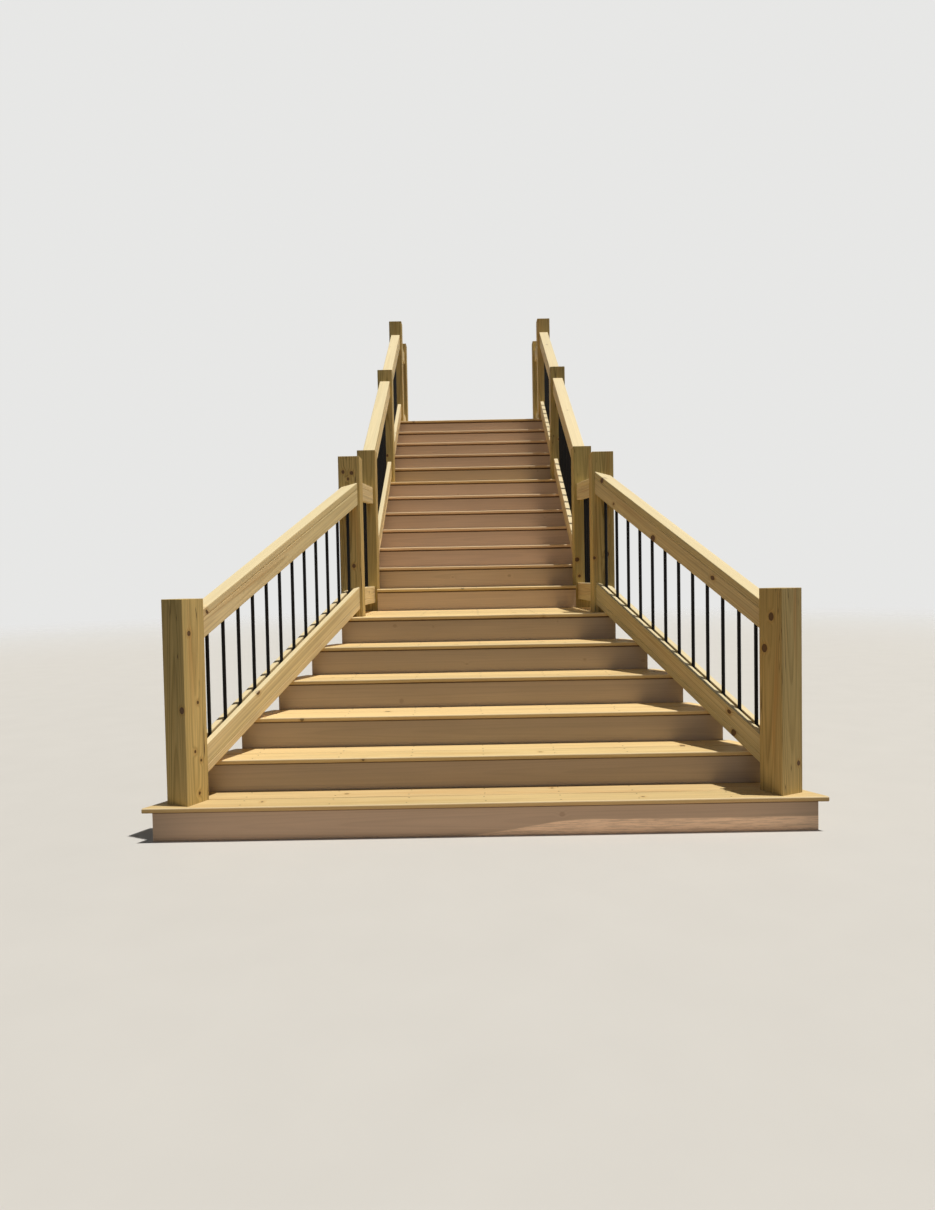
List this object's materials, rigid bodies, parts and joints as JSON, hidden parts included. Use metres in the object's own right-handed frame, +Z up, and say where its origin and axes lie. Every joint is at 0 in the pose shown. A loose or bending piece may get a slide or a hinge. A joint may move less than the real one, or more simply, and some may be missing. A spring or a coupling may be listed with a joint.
{
  "type": "wooden deck stairs",
  "caption": "Free-standing pine deck stairs: a flared lower flight, a platform and a straight upper flight to a landing, with built-up rails on square posts and black tube balusters.",
  "frame": {"origin": "on the ground, at the middle of the width and of the depth", "axes": "+Z up, +Y from the first step towards the landing, +X to the right seen from the foot of the stairs"},
  "size_m": [3.3274, 6.037, 4.204],
  "materials": {
    "deck_pine": "satin",
    "post_pine": "matte",
    "rail_pine": "matte",
    "frame_pine": "matte",
    "riser_paint": "matte",
    "baluster_black": "satin"
  },
  "bodies": {
    "root": {"tread_1": "deck_pine", "tread_2": "deck_pine", "tread_3": "deck_pine", "tread_4": "deck_pine", "tread_5": "deck_pine", "platform_deck": "deck_pine", "tread_7": "deck_pine", "tread_8": "deck_pine", "tread_9": "deck_pine", "tread_10": "deck_pine", "tread_11": "deck_pine", "tread_12": "deck_pine", "tread_13": "deck_pine", "tread_14": "deck_pine", "tread_15": "deck_pine", "tread_16": "deck_pine", "tread_17": "deck_pine", "landing_deck": "deck_pine", "lower_risers": "riser_paint", "upper_risers": "riser_paint", "lower_stringers": "frame_pine", "upper_stringers": "frame_pine", "platform_frame": "frame_pine", "landing_frame": "frame_pine", "first_posts": "post_pine", "platform_posts": "post_pine", "foot_posts": "post_pine", "middle_posts": "post_pine", "landing_posts": "post_pine", "wall_posts": "post_pine", "lower_rails": "rail_pine", "platform_rails": "rail_pine", "upper_rails_a": "rail_pine", "upper_rails_b": "rail_pine", "landing_rails": "rail_pine", "lower_balusters_left": "baluster_black", "lower_balusters_right": "baluster_black", "platform_balusters_left": "baluster_black", "platform_balusters_right": "baluster_black", "upper_balusters_a_left": "baluster_black", "upper_balusters_a_right": "baluster_black", "upper_balusters_b_left": "baluster_black", "upper_balusters_b_right": "baluster_black", "landing_balusters_left": "baluster_black", "landing_balusters_right": "baluster_black"}
  },
  "joints": []
}
